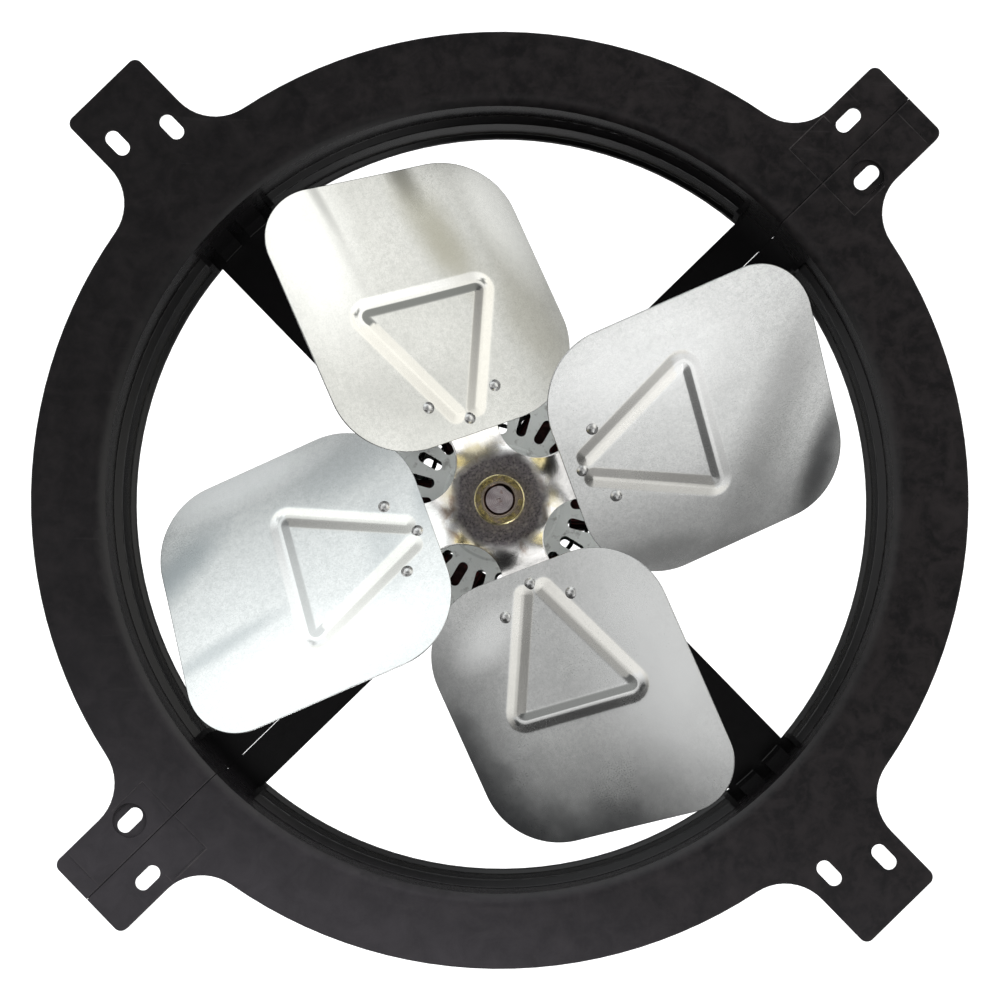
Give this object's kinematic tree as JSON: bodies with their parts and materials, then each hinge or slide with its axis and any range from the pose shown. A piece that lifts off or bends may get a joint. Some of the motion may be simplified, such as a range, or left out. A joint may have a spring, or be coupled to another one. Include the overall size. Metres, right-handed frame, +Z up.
{
  "type": "gable attic fan",
  "caption": "Gable-mount attic ventilation fan: black two-piece round shroud with slotted mounting ears, riveted sheet-metal fan and an open motor carried on arms.",
  "frame": {"origin": "on the fan's axis, in the plane of the flange's front face", "axes": "-Y along the fan's axis out of the flange's front face, +Y towards the motor, +Z up"},
  "size_m": [0.447, 0.1445, 0.447],
  "materials": {
    "shroud_plastic": "black moulded plastic, satin, glossier inside the throat",
    "zinc_hardware": "bright zinc plate",
    "motor_paint": "light grey satin paint",
    "grommet_rubber": "matt",
    "lamination_steel": "dark varnished edge",
    "bobbin_nylon": "matt",
    "enamelled_copper": "enamelled wire",
    "bearing_bronze": "sintered, oiled",
    "oil_felt": "felt",
    "circuit_board": "solder mask",
    "standoff_brass": "turned",
    "component_black": "matt",
    "galvanised_steel": "galvanised sheet, satin",
    "rivet_steel": "zinc plate",
    "zinc_chromate_steel": "zinc plate with faint yellow chromate",
    "gold_chromate_steel": "yellow chromate",
    "black_oxide_steel": "black oxide",
    "shaft_steel": "ground",
    "ferrite": "sintered ferrite",
    "washer_fibre": "fibre"
  },
  "bodies": {
    "housing": {"shroud_half_upper": "shroud_plastic", "shroud_half_lower": "shroud_plastic", "seam_bolts": "zinc_hardware", "seam_nuts": "zinc_hardware", "motor_front_bell": "motor_paint", "motor_rear_bell": "motor_paint", "motor_shell": "motor_paint", "lead_grommet": "grommet_rubber", "stator_core": "lamination_steel", "coil_bobbins": "bobbin_nylon", "stator_coils": "enamelled_copper", "front_bearing": "bearing_bronze", "rear_bearing": "bearing_bronze", "front_oil_felt": "oil_felt", "rear_oil_felt": "oil_felt", "control_board": "circuit_board", "board_standoffs": "standoff_brass", "board_components": "component_black", "through_bolts": "zinc_hardware", "arm_washers": "zinc_hardware", "arm_nuts": "zinc_hardware"},
    "fan_rotor": {"blade_1": "galvanised_steel", "blade_2": "galvanised_steel", "blade_3": "galvanised_steel", "blade_4": "galvanised_steel", "rivets_1": "rivet_steel", "rivets_2": "rivet_steel", "rivets_3": "rivet_steel", "rivets_4": "rivet_steel", "fan_spider": "zinc_chromate_steel", "hub_collar": "gold_chromate_steel", "hub_set_screw": "black_oxide_steel", "motor_shaft": "shaft_steel", "rotor_core": "lamination_steel", "rotor_magnets": "ferrite", "front_thrust_washer": "washer_fibre", "rear_thrust_washer": "washer_fibre", "snap_ring": "black_oxide_steel"}
  },
  "joints": [
    {"name": "fan_spin", "type": "hinge", "parent": "housing", "child": "fan_rotor", "pos_m": [0, 0, 0], "axis": [0, 1, 0], "continuous": true}
  ]
}
